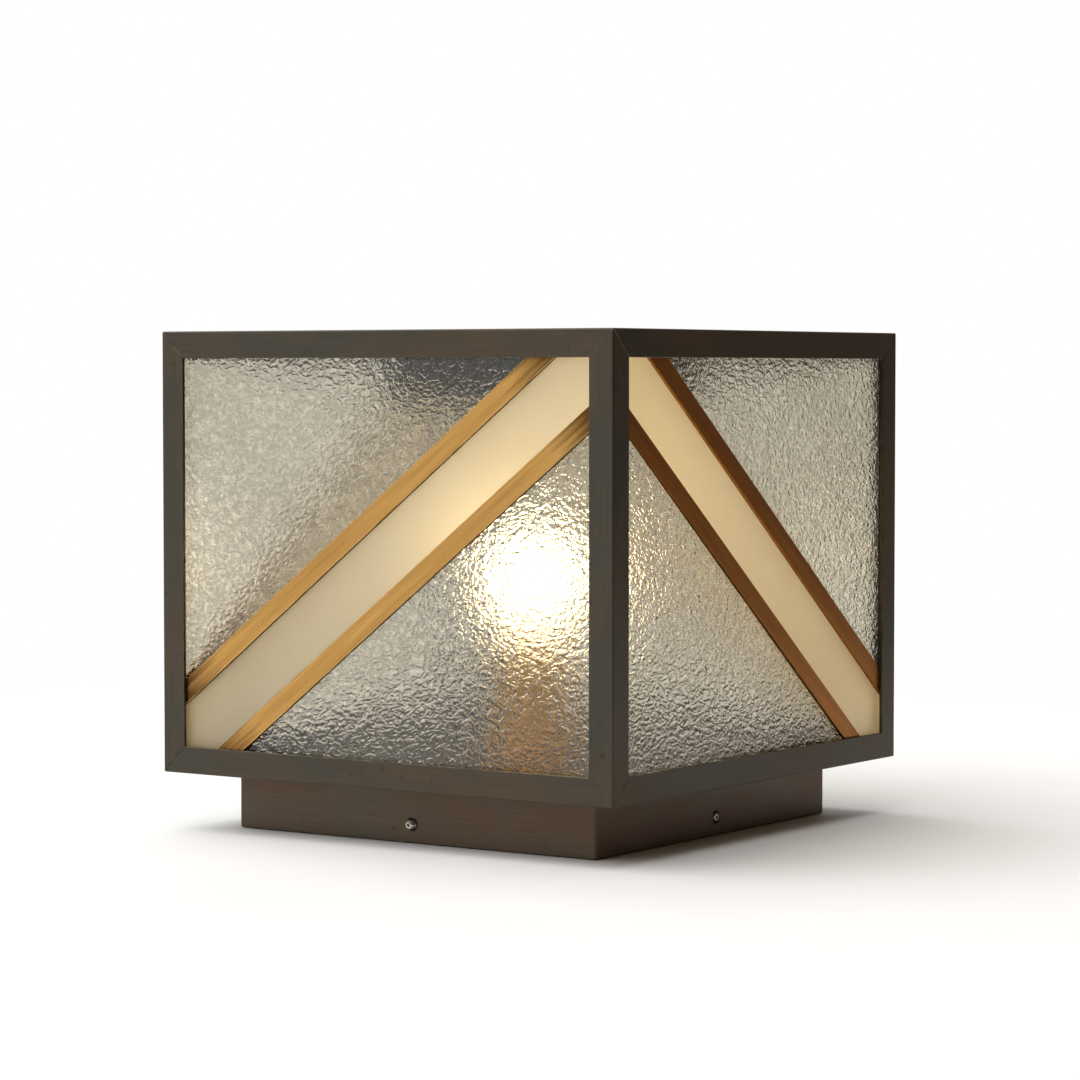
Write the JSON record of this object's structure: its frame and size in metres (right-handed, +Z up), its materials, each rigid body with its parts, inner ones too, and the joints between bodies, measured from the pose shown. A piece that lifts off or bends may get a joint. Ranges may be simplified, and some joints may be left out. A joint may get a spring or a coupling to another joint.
{
  "type": "pillar light",
  "caption": "Square pillar-top garden lantern: mitred bronze cage, rippled glass sides crossed by slanted opal bands, solar lid, bulb, and a plinth clamped to a mounting plate.",
  "frame": {"origin": "centre of the plinth's foot, where the light stands on the pillar", "axes": "+Z up, -Y out of the front side, +X out of the right side"},
  "size_m": [0.3, 0.3, 0.278],
  "materials": {
    "bronze_frame": "dark antique bronze patina, brushed",
    "bronze_plinth": "dark antique bronze patina, brushed lengthways",
    "brass_strip": "brushed golden brass",
    "inner_brass": "unpolished sheet",
    "textured_glass": "clear glass with a fine rippled relief",
    "opal_glass": "warm opal glass",
    "steel_screw": "plain stainless",
    "steel_plate": "plain stainless sheet",
    "seal_rubber": "black rubber",
    "holder_brass": "aged brass",
    "holder_ceramic": "unglazed white ceramic",
    "bulb_opal": "opal diffuser, lit",
    "bulb_white": "white moulded plastic",
    "bulb_cap_metal": "nickel-plated",
    "tray_metal": "black anodised sheet",
    "solar_glass": "flat tempered glass",
    "solar_cell": "dark violet-blue silicon",
    "box_plastic": "black moulded plastic",
    "battery_metal": "sleeved round cells",
    "board": "green circuit board",
    "button_plastic": "red moulded plastic"
  },
  "bodies": {
    "mount": {"mounting_plate": "steel_plate", "mount_lugs": "steel_plate"},
    "lantern": {"top_rail_front": "bronze_frame", "top_rail_right": "bronze_frame", "top_rail_back": "bronze_frame", "top_rail_left": "bronze_frame", "post_front_right": "bronze_frame", "post_back_right": "bronze_frame", "post_back_left": "bronze_frame", "post_front_left": "bronze_frame", "bottom_rail_front": "bronze_frame", "bottom_rail_right": "bronze_frame", "bottom_rail_back": "bronze_frame", "bottom_rail_left": "bronze_frame", "upper_glass_front": "textured_glass", "upper_glass_right": "textured_glass", "upper_glass_back": "textured_glass", "upper_glass_left": "textured_glass", "lower_glass_front": "textured_glass", "lower_glass_right": "textured_glass", "lower_glass_back": "textured_glass", "lower_glass_left": "textured_glass", "opal_band_front": "opal_glass", "opal_band_right": "opal_glass", "opal_band_back": "opal_glass", "opal_band_left": "opal_glass", "upper_strip_front": "brass_strip", "upper_strip_right": "brass_strip", "upper_strip_back": "brass_strip", "upper_strip_left": "brass_strip", "lower_strip_front": "brass_strip", "lower_strip_right": "brass_strip", "lower_strip_back": "brass_strip", "lower_strip_left": "brass_strip", "glazing_seals": "seal_rubber", "glass_clips": "inner_brass", "lid_ledge": "inner_brass", "floor_plate": "inner_brass", "plinth": "bronze_plinth", "weld_nuts": "steel_plate", "holder_cup": "holder_brass", "holder_screws": "steel_screw", "holder_core": "holder_ceramic", "centre_contact": "holder_brass"},
    "solar_lid": {"lid_tray": "tray_metal", "lid_seal": "seal_rubber", "solar_glass": "solar_glass", "solar_cells": "solar_cell", "battery_box": "box_plastic", "battery_cover": "box_plastic", "battery_cells": "battery_metal", "controller_board": "board"},
    "power_button": {"power_button": "button_plastic"},
    "bulb": {"bulb_globe": "bulb_opal", "bulb_body": "bulb_white", "bulb_cap": "bulb_cap_metal"},
    "set_screw_front": {"set_screw_front": "steel_screw"},
    "set_screw_right": {"set_screw_right": "steel_screw"},
    "set_screw_back": {"set_screw_back": "steel_screw"},
    "set_screw_left": {"set_screw_left": "steel_screw"}
  },
  "joints": [
    {"name": "lantern_lift", "type": "slide", "parent": "mount", "child": "lantern", "axis": [0, 0, 1], "range_m": [0, 0.05]},
    {"name": "lid_lift", "type": "slide", "parent": "lantern", "child": "solar_lid", "axis": [0, 0, 1], "range_m": [0, 0.06]},
    {"name": "bulb_lift", "type": "slide", "parent": "lantern", "child": "bulb", "axis": [0, 0, 1], "range_m": [0, 0.04]},
    {"name": "power_button_press", "type": "slide", "parent": "solar_lid", "child": "power_button", "axis": [0, 0, 1], "range_m": [0, 0.0015], "stiffness_N_per_m": 300},
    {"name": "set_screw_front_out", "type": "slide", "parent": "lantern", "child": "set_screw_front", "axis": [0, -1, 0], "range_m": [-0.0025, 0.003]},
    {"name": "set_screw_right_out", "type": "slide", "parent": "lantern", "child": "set_screw_right", "axis": [1, 0, 0], "range_m": [0, 0.0055]},
    {"name": "set_screw_back_out", "type": "slide", "parent": "lantern", "child": "set_screw_back", "axis": [0, 1, 0], "range_m": [0, 0.0055]},
    {"name": "set_screw_left_out", "type": "slide", "parent": "lantern", "child": "set_screw_left", "axis": [-1, 0, 0], "range_m": [0, 0.0055]}
  ]
}
